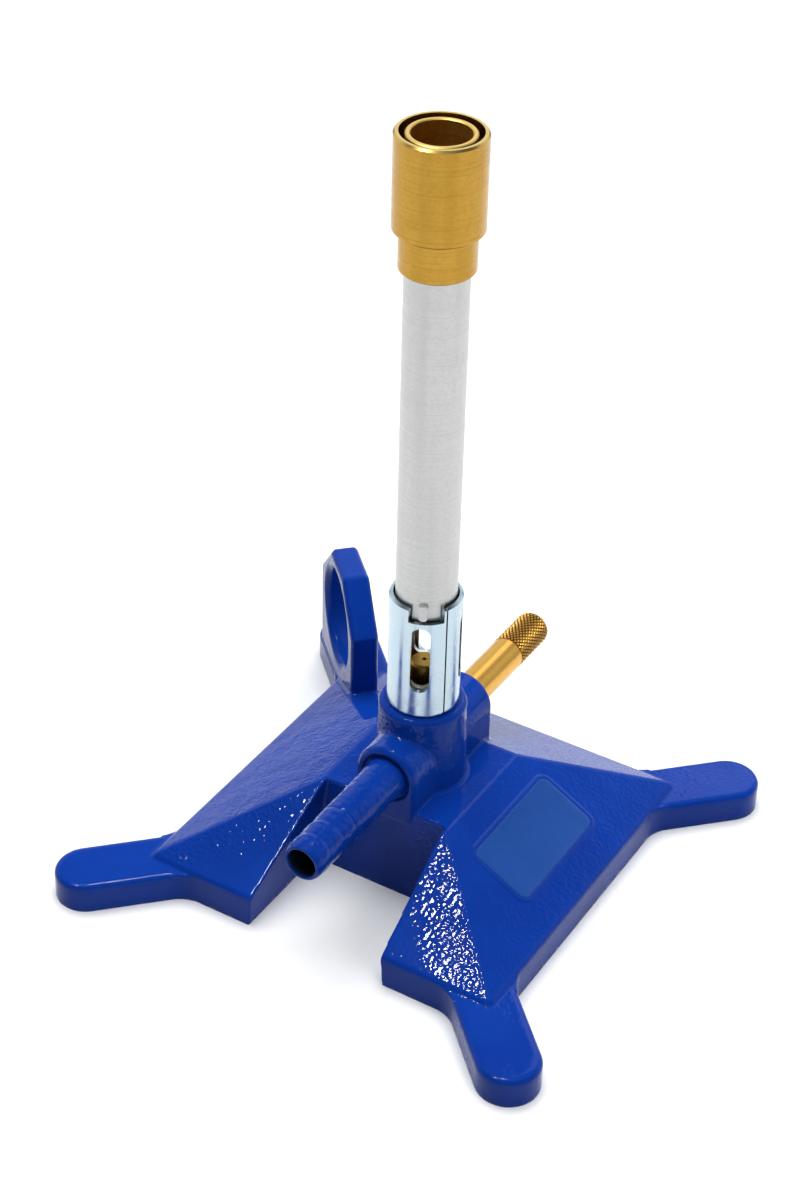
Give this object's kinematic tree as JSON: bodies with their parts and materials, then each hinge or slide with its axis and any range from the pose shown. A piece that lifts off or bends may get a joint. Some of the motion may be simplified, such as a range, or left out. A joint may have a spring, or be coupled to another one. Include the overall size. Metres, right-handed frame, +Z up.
{
  "type": "bunsen burner",
  "caption": "Laboratory gas burner on a low pyramid base with splayed toes and a carrying ring, with side hose inlet, needle valve, turning air collar and stabilised flame head.",
  "frame": {"origin": "on the bench, under the axis of the burner tube", "axes": "+Z up along the tube, -Y towards the hose inlet's tip, +Y towards the valve knob"},
  "size_m": [0.1154, 0.1142, 0.1678],
  "materials": {
    "blue_paint": "gloss royal blue paint with orange peel over a cast surface",
    "inlet_paint": "the same gloss paint over turned brass",
    "jet_brass": "turned",
    "tube_aluminium": "fine turning marks round the tube",
    "zinc_plate": "bright bluish zinc plate on rolled sheet",
    "head_brass": "brushed, slightly tarnished",
    "insert_brass": "turned",
    "knob_brass": "turned shank with a knurled end",
    "needle_steel": "ground",
    "seal_rubber": "matte"
  },
  "bodies": {
    "burner": {"base_casting": "blue_paint", "hose_inlet": "inlet_paint", "gas_jet": "jet_brass", "burner_tube": "tube_aluminium", "flame_cup": "head_brass", "flame_insert": "insert_brass"},
    "collar": {"air_collar": "zinc_plate"},
    "needle": {"valve_needle": "needle_steel"},
    "knob": {"valve_knob": "knob_brass", "valve_seal": "seal_rubber"}
  },
  "joints": [
    {"name": "collar_turn", "type": "hinge", "parent": "burner", "child": "collar", "pos_m": [0, 0, 0.054], "axis": [0, 0, 1], "range_deg": [-26, 14]},
    {"name": "valve_advance", "type": "slide", "parent": "burner", "child": "needle", "axis": [0, 1, 0], "range_m": [-0.0012, 0.0012]},
    {"name": "knob_turn", "type": "hinge", "parent": "needle", "child": "knob", "pos_m": [0, 0.03, 0.0284], "axis": [0, 1, 0], "range_deg": [-617.2, 617.2]}
  ],
  "couplings": [
    {"joint": "knob_turn", "follows": "valve_advance", "rad_per_m": 8976}
  ]
}
